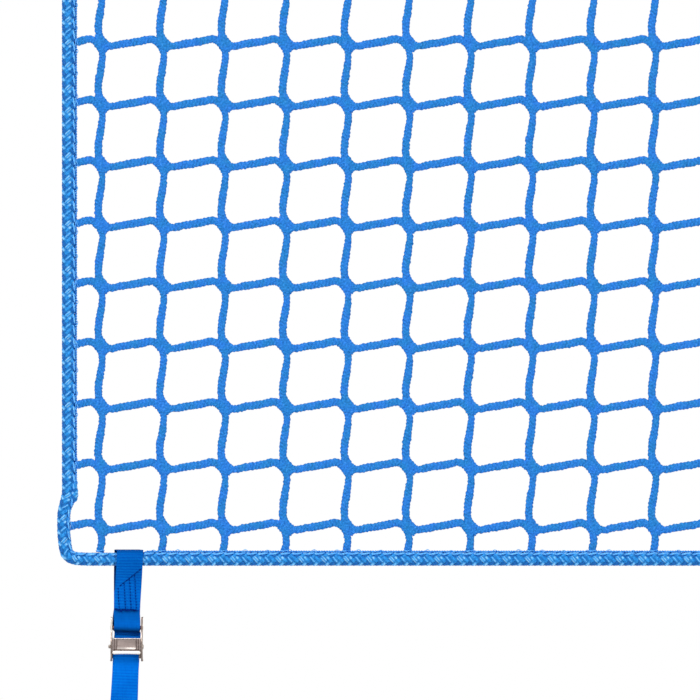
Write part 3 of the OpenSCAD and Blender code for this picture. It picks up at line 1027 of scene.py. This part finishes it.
def make_ribbon(name, strap, points, soft=1.2, square=False, tone=None, **section):
    """A piece of webbing, with painted light and shade on its front given by a function of a path
    of y, s points.
    """
    path = softened(points, soft, WEB_STEP)
    for key in ("shift", "ribs"):
        if callable(section.get(key)):
            section[key] = section[key](path)
    rings, crest, back = ribbon_rings(path, **section)
    tone = tone(path)[:, None] * (1 - back) + BACK_TONE * back
    return skin_piece(name, PLACE[strap].world(rings, square), "webbing", crest=crest, tone=tone)


def near_loop(s):
    """1 at the rope, 0 at the end of the stack."""
    return 1 - np.clip((s - 4) / 44, 0, 1)


def sewn_shift(path):
    """The loop's front run stands a little to the right and its back run to the left."""
    y, s = path[:, 0], path[:, 1]
    aside = near_loop(s) * np.where(y < -LAYER, LOOP_ASIDE, -1.8)
    return aside + np.interp(s, (52, 62), (0, FOLD_ASIDE))


def sewn_tone(path):
    """The sewn webbing is darker than the tail, with painted shade most of all at its two folds.
    """
    y, s = path[:, 0], path[:, 1]
    at_rope = np.interp(s, (-9.6, -8.0, -5.0, 18, 30), (0.36, 0.5, 0.74, 0.74, 0.84))
    at_bar = np.interp(s, (30, 48, 51, 58, 63, 65.6, 67.4, 69.2, 70.6),
                       (0.84, 0.84, 0.66, 0.74, 0.88, 0.8, 0.56, 0.34, 0.2))
    # Painted shade on the back layers of the loop and stack.
    back_layer_shade = np.where((y >= -LAYER) & (s < THROAT + 13), 0.35, 1.0)
    return np.where(s < 30, at_rope, at_bar) * back_layer_shade


def sewn_ribs(path):
    return np.interp(path[:, 1], (-8, -4, 4, 20, 49, 51, 60, 64),
                     (0.3, 0.9, 1.25, 1.25, 0.9, 0.2, 0.35, 0.15))


# Painted light and shade on the webbing round the rail: painted shade behind the buckle's fold and
# under the lever, and painted light, above 1, where the fold's shadow falls on it.
def rail_webbing_tone(path):
    return np.interp(path[:, 1], (50, 58, 70, 71.4, 73, 75.2, 75.9, 76.6, 78, 80, 92, 93.6, 96),
                     (0.5, 0.3, 0.25, 0.8, 1.3, 1.25, 0.7, 1.1, 0.7, 0.4, 0.4, 0.9, 1.2))


def rail_webbing_shift(path):
    """Behind the buckle's fold this layer shows a little at the left."""
    return np.interp(path[:, 1], (48, 56, 69.4, 71.4, 77, 84), (0, -0.9, -0.9, 1.2, 1.2, 0.6))


# Painted light on the tail's first part, which lies in the lever's shadow, brightest at its start.
def tail_tone(path):
    return np.interp(lengths(path), (0, 12, 26), (1.15, 1.08, 1.0))


def tail_ribs(path):
    return np.interp(lengths(path), (0, 8, 14), (0.12, 0.12, 0.9))


def make_tail(strap):
    points = tail_points(strap)
    start_x, slope = TAIL_ASIDE[strap]

    def aside(path):
        return start_x - slope * lengths(path)

    tail = make_ribbon("free_tail_" + strap, strap, points, soft=0.8, tone=tail_tone,
                       ribs=tail_ribs, shift=aside)
    place = PLACE[strap]
    route = place.world(np.column_stack([aside(points), points])) * MM
    if is_top(strap):
        start, end = place.world([(0, -20, 110), (0, ARCH_Y, 82)]) * MM
        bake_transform(tail)
        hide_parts("tail_arch_" + strap, "tail_run_" + strap, "tail_" + strap)
    else:
        start, end = place.world([(0, THROUGH_Y, NOSE), (0, THROUGH_Y, 250)]) * MM
        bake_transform(tail)
        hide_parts("tail_run_" + strap, "tail_" + strap)


def make_webbing(strap):
    place = PLACE[strap]
    fixed = "upper_straps" if is_top(strap) else "strap_" + strap
    sewn = make_ribbon("sewn_loop_" + strap, strap, sewn_path(), shift=sewn_shift, square=True,
                       tone=sewn_tone, ribs=sewn_ribs, columns=31, pucker=stitch_pucker)
    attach(sewn, fixed)
    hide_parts("sewn_webbing_" + strap)
    # Only the strap in the photograph has a buckle so far aside that this layer shows beside it
    amount = 1.0 if strap == "bottom_left" else 0.3
    long = make_ribbon("rail_webbing_" + strap, strap, long_path(strap), soft=0.7,
                       tone=rail_webbing_tone, ribs=0.8,
                       shift=lambda path: amount * rail_webbing_shift(path))
    start, end = place.world([(0, 0, LEGS_START), (0, 0, RAIL_S - 10)]) * MM
    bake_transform(long)
    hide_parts("long_webbing_" + strap, "webbing_legs_" + strap, "rail_loop_" + strap)


# --- Stitching ---

# Where each row of stitches starts, on a slanting first line, and how rows slant
FIRST_LINE = ((-8.6, 26.6), (11.8, 8.7))
ROW_STARTS = [(-9.9, 27.6), (-4.2, 23.4), (0.8, 18.8), (5.5, 14.8)]
ROW_SLANT = 0.112
ROW_END = 48.4
ROW_EDGE = 12.2


def stitch_pucker(x, y, s):
    """How deep the rows of stitches pull in the front of the stack. The same depth paints shade
    along the rows.
    """
    deep = np.zeros(np.broadcast(x, y, s).shape)
    for x0, s0 in ROW_STARTS:
        row = np.exp(-((x - x0 - ROW_SLANT * (s - s0)) / 0.8) ** 2)
        deep += row * np.clip((s - s0) / 1.5, 0, 1) * np.clip((ROW_END - s) / 1.5, 0, 1)
    end = np.exp(-((s - ROW_END - 0.6) / 0.9) ** 2)
    return np.clip(deep + end, 0, 1) * (y < -LAYER)


def stitch_line(batch, a, b, pitch, radius, front, cover=0.88):
    """A row of short stitches between two x, s points on the front of the stack."""
    a, b = np.array(a, float), np.array(b, float)
    count = max(1, int(round(np.linalg.norm(b - a) / pitch)))
    for number in range(count):
        lo = a + (b - a) * (number + 0.5 - cover / 2) / count
        hi = a + (b - a) * (number + 0.5 + cover / 2) / count
        place = np.linspace(0, 1, 7)
        line = lo + (hi - lo) * place[:, None]
        lift = front - radius * 0.5 * np.sin(np.pi * place)
        path = np.stack([line[:, 0], lift, line[:, 1]], axis=1)
        batch.skin(tube_rings(path, radius * (0.6 + 0.4 * np.sin(np.pi * place)), 8,
                              guide=(0.1, 1, 0.13)))


def make_stitching(strap):
    rng = np.random.default_rng(len(strap) + ord(strap[-2]))
    batch = Batch()
    stitch_line(batch, *FIRST_LINE, 3.4, 0.46, -0.14)
    for x0, s0 in ROW_STARTS:
        s1 = min(ROW_END, s0 + (ROW_EDGE - x0) / ROW_SLANT)
        stitch_line(batch, (x0, s0), (x0 + ROW_SLANT * (s1 - s0), s1), RIB, 0.4, 0.06, 0.62)
    xs = np.arange(-12.2, 10.6, 1.3)
    reach = np.interp(xs, (-12, -5, 2, 10), (1.0, 1.9, 1.4, 1.0)) * rng.uniform(0.3, 1.5, len(xs))
    zig = [(x, ROW_END + 0.7 + (r if n % 2 else -0.6)) for n, (x, r) in enumerate(zip(xs, reach))]
    for a, b in zip(zig, zig[1:]):
        stitch_line(batch, a, b, 4.0, 0.62, 0.0)
    fronts, places = front_surface()
    for part, points in enumerate(batch.points):
        x, y, s = points.T
        batch.points[part] = PLACE[strap].world(np.stack(
            [x + LOOP_ASIDE * near_loop(s), y + np.interp(s, places, fronts), s], axis=1))
    piece = batch.piece("stitches_" + strap, "stitch_thread")
    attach(piece, "upper_straps" if is_top(strap) else "strap_" + strap)
    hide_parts("stitching_" + strap)


def front_surface():
    """Depths of the stack's front surface, and the distances from the rope's axis they are at."""
    path = softened(sewn_path(), 1.2, WEB_STEP)
    run = path[:int(np.argmin(path[:, 0]))][::-1]
    return run[:, 0] - WEB_T / 2, run[:, 1]


# --- Buckle ---

WALL_IN = 14.1
WALL_T = 1.5
WALL_START = 56.5
WALL_END = 99.5
CAM_Y = -3.8
CAM_S = 85.2
CAM_R = 5.0
PIN_R = 2.0
LEVER_W = 27.6
PLATE_Y = CAM_Y - 5.6
THUMB = 76.9
PLATE_END = 89.6
LIP_S = 90.5
LIP_R = 2.0
DRUM_RIGHT = LEVER_W / 2 - 5


class Solid:
    """Sheet-metal and turned solids in a strap's frame that become one piece."""

    def __init__(self):
        self.mesh = bmesh.new()
        self.tones = []

    def take(self, points, faces, bevel=0.0, segments=2, tone=None):
        """Adds a solid, with painted highlight and shade on its metal, from -1 to 1, given by a
        function of x, y and s.
        """
        part = bmesh.new()
        verts = [part.verts.new(p) for p in points]
        for face in faces:
            part.faces.new([verts[i] for i in face])
        bmesh.ops.recalc_face_normals(part, faces=part.faces)
        if bevel:
            sharp = [e for e in part.edges if e.calc_face_angle(0) > 0.5]
            bmesh.ops.bevel(part, geom=sharp, offset=bevel, segments=segments, profile=0.5,
                            affect="EDGES", clamp_overlap=True)
        self.tones += [tone(*v.co) if tone else 0.0 for v in part.verts]
        data = bpy.data.meshes.new("part")
        part.to_mesh(data)
        part.free()
        self.mesh.from_mesh(data)
        bpy.data.meshes.remove(data)

    def extruded(self, outline, x0, x1, bevel, segments=2, tone=None):
        """An outline of y, s points between two places across the strap."""
        points = [(x, y, s) for x in (x0, x1) for y, s in outline]
        n = len(outline)
        faces = [range(n), range(2 * n - 1, n - 1, -1)]
        faces += [((i + 1) % n, i, n + i, n + (i + 1) % n) for i in range(n)]
        self.take(points, faces, bevel, segments, tone)

    def rings(self, rings, tone=None):
        """A skin over rings of points."""
        self.take(rings.reshape(-1, 3), skin_faces(*rings.shape[:2]), tone=tone)

    def lathe(self, y, s, profile, sides=32, tone=None):
        """A turned shape on an axis across the strap: profile holds x, radius points."""
        a = 2 * math.pi * turns(sides)
        rings = [[(x, y + r * math.cos(b), s + r * math.sin(b)) for b in a] for x, r in profile]
        self.rings(np.array(rings), tone=tone)

    def piece(self, name, strap, slot):
        self.mesh.verts.index_update()
        co = np.array([v.co for v in self.mesh.verts])
        faces = [[v.index for v in f.verts] for f in self.mesh.faces]
        self.mesh.free()
        made = make_piece(name, seated(strap, co), faces, slot, tone=self.tones)
        modifier = made.modifiers.new("sharp_edges", "EDGE_SPLIT")
        modifier.split_angle = math.radians(38)
        return made


def seated(strap, points):
    """World places of a buckle's points, with its small shift and turn on the webbing."""
    aside, turn = BUCKLE_SEAT[strap]
    c, w = math.cos(math.radians(turn)), math.sin(math.radians(turn))
    x, y, s = np.asarray(points, float).T
    s = s - CAM_S
    return PLACE[strap].world(np.stack([aside + c * x + w * s, y, CAM_S + c * s - w * x], axis=1))


def rounded(points, radius, steps=4):
    """The outline with each corner cut by an arc-like curve."""
    p = [np.array(q, float) for q in points]
    out = []
    for before, corner, after in zip([p[-1]] + p[:-1], p, p[1:] + [p[0]]):
        to_before, to_after = before - corner, after - corner
        cut = min(radius, np.linalg.norm(to_before) / 2.2, np.linalg.norm(to_after) / 2.2)
        a = corner + to_before / np.linalg.norm(to_before) * cut
        b = corner + to_after / np.linalg.norm(to_after) * cut
        for t in np.linspace(0, 1, steps + 1):
            out.append((1 - t) ** 2 * a + 2 * t * (1 - t) * corner + t ** 2 * b)
    return [tuple(q) for q in out]


# How the walls' two ends bend outwards: the way out and the way along at each step
HOOK = [(0.75, 2.5), (0.9, 0.9), (1.3, 0.2), (1.8, 0.3)]
FOOT = [(0.8, -5), (0.9, -2.4), (1.1, -0.8), (1.4, 0)]


def make_buckle_frame(strap):
    solid = Solid()
    wall = rounded([(-3, WALL_START), (3, WALL_START), (5, WALL_START + 4), (5, WALL_END),
                    (-2, WALL_END), (CAM_Y - 2.4, 94), (CAM_Y - 4.5, CAM_S + 3),
                    (CAM_Y - 4.5, CAM_S - 5), (-4.5, BAR_S + 4)], 1.8)
    for side in (-1, 1):
        inner, outer = side * WALL_IN, side * (WALL_IN + WALL_T)
        solid.extruded(wall, min(inner, outer), max(inner, outer), 0.3, tone=wall_tone)
        for steps, y, end, depth, half in ((HOOK, 0, WALL_START, 5.4, 0.55),
                                           (FOOT, 0.5, WALL_END, 6.4, 0.8)):
            bend = [(side * (WALL_IN + out), y, end + s) for out, s in steps]
            solid.rings(flat_rings(catmull(bend, 0.3), depth, half), tone=wall_tone)
    base = [(3, 78), (5, 78), (5, NOSE), (3, NOSE)]
    solid.extruded(base, -WALL_IN, WALL_IN, 0.2)
    solid.lathe(4, 78, [(-WALL_IN, 1.0), (WALL_IN, 1.0)], 20)
    piece = solid.piece("buckle_" + strap, strap, "buckle_steel")
    finish_metal(piece, strap, "buckle_frame_" + strap)


def wall_tone(x, y, s):
    """Painted highlight on the left arm up to the rear bar, and painted shade on the right arm
    there and on both walls beside the lever.
    """
    if s < BAR_S + 4:
        return 0.4 if x < 0 else -0.6
    return -0.35


def flat_rings(path, depth, half):
    """Rings of a flat bent strip whose width is along y."""
    n = sideways(directions(path))
    corners = [(-0.5, 0.7), (-0.44, 1), (0.44, 1), (0.5, 0.7), (0.5, -0.7), (0.44, -1),
               (-0.44, -1), (-0.5, -0.7)]
    rings = np.repeat(path[:, None], len(corners), axis=1)
    for number, (y, o) in enumerate(corners):
        rings[:, number] += o * half * n
        rings[:, number, 1] += y * depth
    return rings


def finish_metal(piece, strap, node):
    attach(piece, "upper_straps" if is_top(strap) else "strap_" + strap)
    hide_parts(node)


def make_pins(strap):
    edge = WALL_IN + WALL_T
    bar = Solid()
    head = [(edge, 2.5), (edge + 0.25, 2.3), (edge + 0.4, 1.7), (edge + 0.45, 0.8)]
    shaft = [(x, PIN_R) for x in (-edge, -WALL_IN, WALL_IN, edge)]
    profile = [(-x, r) for x, r in head[::-1]] + shaft + head
    # Painted light on the bar: a slight highlight on its heads and painted shade on the part
    # inside the webbing's fold.
    bar.lathe(0, BAR_S, profile, tone=lambda x, y, s: 0.2 if abs(x) > WALL_IN + 0.1 else -0.9)
    finish_metal(bar.piece("bar_" + strap, strap, "buckle_steel"), strap, "rear_bar_" + strap)

    pin = Solid()
    knob = [(-edge - 2.3, 0.5), (-edge - 2.15, 1.2), (-edge - 1.7, 1.75), (-edge - 0.9, 1.9),
            (-edge - 0.4, 1.5), (-edge - 0.3, 1.9), (-edge, 2.6)]
    rivet = [(edge, 2.8), (edge + 0.5, 2.6), (edge + 0.9, 1.9), (edge + 1.1, 0.8)]
    pin.lathe(CAM_Y, CAM_S, knob + [(-edge + 0.01, PIN_R), (edge - 0.01, PIN_R)] + rivet)
    finish_metal(pin.piece("pin_" + strap, strap, "buckle_steel"), strap, "cam_pin_" + strap)


def plate_y(s):
    """Depth of the lever plate's front face."""
    return PLATE_Y + 1.6 * (PLATE_END - s) / (PLATE_END - THUMB)


def make_lever(strap):
    solid = Solid()
    teeth = 7
    cam = []
    for i in range(teeth):
        for tip in (0, 1):
            a = math.radians(-70 + (i + tip / 2) * 140 / teeth)
            r = CAM_R - 0.7 * (1 - tip)
            cam.append((CAM_Y + r * math.cos(a), CAM_S + r * math.sin(a)))
    cam += arc((CAM_Y, CAM_S), CAM_R - 0.7, 70, 290, 20)
    solid.extruded(cam, -LEVER_W / 2, DRUM_RIGHT, 0.12, 1)
    web = [(CAM_Y, CAM_S - 3.6), (PLATE_Y + 2.4, CAM_S - 5.4), (PLATE_Y + 1.9, LIP_S),
           (CAM_Y, CAM_S + 3.6)]
    solid.extruded(web, -LEVER_W / 2 + 0.1, DRUM_RIGHT - 0.1, 0.2)

    half = LEVER_W / 2
    solid.take(*plate_grid(half), tone=plate_tone)
    for side in (-1, 1):
        x0, x1 = sorted((side * (half - 1.4), side * half))
        rim = rounded([(plate_y(THUMB + 0.4) - 0.4, THUMB + 0.4),
                       (plate_y(PLATE_END) - 0.4, PLATE_END - 1.0),
                       (plate_y(PLATE_END) + 1.0, PLATE_END - 1.0),
                       (plate_y(THUMB + 0.4) + 1.0, THUMB + 0.4)], 0.5)
        solid.extruded(rim, x0, x1, 0.2)
    lip = [(half - 0.9, LIP_R), (half - 0.25, LIP_R - 0.5), (half, 0.7)]
    lip = [(-x, r) for x, r in lip[::-1]] + lip
    # A painted highlight over the whole lip.
    solid.lathe(PLATE_Y + LIP_R - 0.3, LIP_S, lip, 36, tone=lambda x, y, s: 1.0)
    piece = solid.piece("lever_plate_" + strap, strap, "lever_steel")
    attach(piece, "lever_" + strap)
    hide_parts("cam_lever_" + strap)


PANEL_HALF = 8.75
PANEL_TOP, PANEL_END = 78.3, 85.7
SLOPE_END = 87.6
CREASES = (9.9, 11.7)


def plate_tone(x, y, s):
    """Painted highlights on the plate's free edge and lower slope; painted shade in its creases
    and in the gap below the slope.
    """
    if s < THUMB + 0.4:
        return 0.7
    if abs(x) <= PANEL_HALF and PANEL_END < s <= SLOPE_END:
        return 0.22
    if SLOPE_END < s < SLOPE_END + 0.9:
        return -0.55
    return -0.45 if min(abs(abs(x) - crease) for crease in CREASES) < 0.05 else 0.0


def plate_grid(half):
    """Points and faces of the pressed thumb plate with its sunk panel."""
    right = [PANEL_HALF, 9.3]
    for crease in CREASES:
        right += [crease - 0.35, crease, crease + 0.35]
    right.append(half)
    xs = [-x for x in right[::-1]] + right
    ss = [THUMB, THUMB + 0.35, THUMB + 0.5, 77.7, PANEL_TOP, PANEL_END, PANEL_END + 0.15,
          SLOPE_END, SLOPE_END + 0.2, SLOPE_END + 0.7, SLOPE_END + 0.95, PLATE_END + 0.6]

    def depth(x, s):
        slope = (SLOPE_END - s) / (SLOPE_END - PANEL_END)
        sunk = min(1.0, max(0.0, slope)) if abs(x) <= PANEL_HALF and s >= PANEL_TOP else 0.0
        groove = 0.3 if any(abs(abs(x) - c) < 0.05 for c in CREASES) and THUMB < s else 0.0
        gap = 0.5 if SLOPE_END + 0.1 < s < SLOPE_END + 0.8 else 0.0
        return plate_y(s) + 0.65 * sunk + groove + gap + (0.3 if s == THUMB else 0.0)

    points = [(x, depth(x, s), s) for s in ss for x in xs]
    points += [(x, plate_y(s) + 1.6, s) for s in ss for x in xs]
    grid = np.arange(len(points)).reshape(2, len(ss), len(xs))
    faces = []
    for i in range(len(ss) - 1):
        for j in range(len(xs) - 1):
            (a, b), (c, d) = grid[0, i:i + 2, j:j + 2]
            faces.append((a, b, d, c))
            (a, b), (c, d) = grid[1, i:i + 2, j:j + 2]
            faces.append((a, c, d, b))
    for j in range(len(xs) - 1):
        for i, turn in ((0, 1), (-1, -1)):
            (a, b), (c, d) = grid[:, i, j:j + 2]
            faces.append((a, c, d, b)[::turn])
    for i in range(len(ss) - 1):
        for j, turn in ((0, -1), (-1, 1)):
            (a, b), (c, d) = grid[:, i:i + 2, j]
            faces.append((a, b, d, c)[::turn])
    return points, faces


def make_spring(strap):
    wire = 0.4
    coil = PIN_R + 0.3 + wire
    left = DRUM_RIGHT + 2 * wire
    coils = 3.5
    line = [(left, PLATE_Y + 3.9, CAM_S - 6.2)]
    for i in range(int(coils * 24) + 1):
        a = math.radians(-90 - i * 15)
        line.append((left + i / 24, CAM_Y + coil * math.sin(a), CAM_S + coil * math.cos(a)))
    line.append((left + coils, CAM_Y + coil, CAM_S + 3.5))
    batch = Batch()
    batch.skin(tube_rings(np.array(line), wire, 10, guide=(1, 0.01, 0.02)))
    batch.points = [seated(strap, points) for points in batch.points]
    piece = batch.piece("spring_" + strap, "spring_steel")
    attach(piece, "lever_" + strap)
    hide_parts("cam_spring_" + strap)


# --- The whole object ---

for strap in STRAPS:
    make_tail(strap)
twine_ends = make_netting()
rope_path, rope_inwards = make_rope()
make_splice()
make_seam(rope_path, rope_inwards, twine_ends)
for strap in STRAPS:
    make_webbing(strap)
    make_stitching(strap)
    make_buckle_frame(strap)
    make_pins(strap)
    make_lever(strap)
    make_spring(strap)
